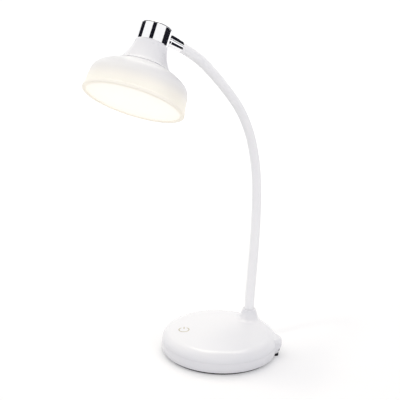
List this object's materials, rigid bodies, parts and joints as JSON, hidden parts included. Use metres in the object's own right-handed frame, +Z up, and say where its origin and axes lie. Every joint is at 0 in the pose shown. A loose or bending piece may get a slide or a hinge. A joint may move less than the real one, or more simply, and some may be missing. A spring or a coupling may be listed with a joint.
{
  "type": "desk lamp",
  "caption": "Cordless desk lamp with a round weighted base, bendable gooseneck, chrome cap and ferrule, and a wide bell-shaped shade over a flat light disc.",
  "frame": {"origin": "middle of the foot pad, on the surface that the lamp stands on", "axes": "+Z up; the neck stands behind the origin towards +Y and carries the head forward towards -Y; +X to the right seen from the front"},
  "size_m": [0.12, 0.2322, 0.3505],
  "materials": {
    "housing": "glossy",
    "foot": "matt",
    "steel": "plain",
    "iron": "painted",
    "cell": "foil",
    "board": "satin",
    "black_plastic": "matt",
    "copper": "plain",
    "sleeve": "satin",
    "chrome": "polished",
    "nylon": "matt",
    "stem": "glossy",
    "bell": "glossy, translucent",
    "rim": "glossy",
    "diffuser": "frosted",
    "aluminium": "white solder mask",
    "chip": "plain"
  },
  "bodies": {
    "base": {"base_top_shell": "housing", "base_bottom_shell": "housing", "foot_pad": "foot", "base_screws": "steel", "counterweight": "iron", "battery_pouch": "cell", "main_board": "board", "charge_socket": "steel", "socket_bezel": "black_plastic", "touch_electrode": "copper", "neck_nipple": "steel", "neck_washer": "steel", "neck_lock_nut": "steel", "neck_sleeve_0": "sleeve", "neck_core_0": "steel"},
    "neck_link_1": {"neck_sleeve_1": "sleeve", "neck_core_1": "steel"},
    "neck_link_2": {"neck_sleeve_2": "sleeve", "neck_core_2": "steel"},
    "neck_link_3": {"neck_sleeve_3": "sleeve", "neck_core_3": "steel"},
    "neck_link_4": {"neck_sleeve_4": "sleeve", "neck_core_4": "steel"},
    "neck_link_5": {"neck_sleeve_5": "sleeve", "neck_core_5": "steel"},
    "neck_tip": {"neck_sleeve_6": "sleeve", "neck_core_6": "steel", "neck_ferrule": "chrome", "swivel_stud": "steel", "swivel_washer": "steel", "swivel_nut": "steel"},
    "head": {"cap": "chrome", "swivel_bush": "nylon", "shade_stem": "stem", "shade_bell": "bell", "head_screws": "steel", "led_plate": "aluminium", "led_chips": "chip", "rim_ring": "rim", "diffuser_disc": "diffuser"}
  },
  "joints": [
    {"name": "neck_sway_1", "type": "hinge", "parent": "base", "child": "neck_link_1", "pos_m": [0, 0.0458, 0.05748], "axis": [0, 0.9976, -0.0698], "range_deg": [-25, 25]},
    {"name": "neck_nod_2", "type": "hinge", "parent": "neck_link_1", "child": "neck_link_2", "pos_m": [0, 0.04886, 0.11139], "axis": [1, 0, 0], "range_deg": [-25, 25]},
    {"name": "neck_sway_3", "type": "hinge", "parent": "neck_link_2", "child": "neck_link_3", "pos_m": [0, 0.04839, 0.16537], "axis": [0, 0.9981, 0.061], "range_deg": [-25, 25]},
    {"name": "neck_nod_4", "type": "hinge", "parent": "neck_link_3", "child": "neck_link_4", "pos_m": [0, 0.03743, 0.21805], "axis": [1, 0, 0], "range_deg": [-25, 25]},
    {"name": "neck_sway_5", "type": "hinge", "parent": "neck_link_4", "child": "neck_link_5", "pos_m": [0, 0.00941, 0.26379], "axis": [0, 0.7314, 0.682], "range_deg": [-25, 25]},
    {"name": "neck_nod_6", "type": "hinge", "parent": "neck_link_5", "child": "neck_tip", "pos_m": [0, -0.03005, 0.30058], "axis": [1, 0, 0], "range_deg": [-25, 25]},
    {"name": "head_swivel", "type": "hinge", "parent": "neck_tip", "child": "head", "pos_m": [0, -0.09904, 0.33764], "axis": [0, -0.9135, 0.4067], "range_deg": [-82, 98]}
  ]
}
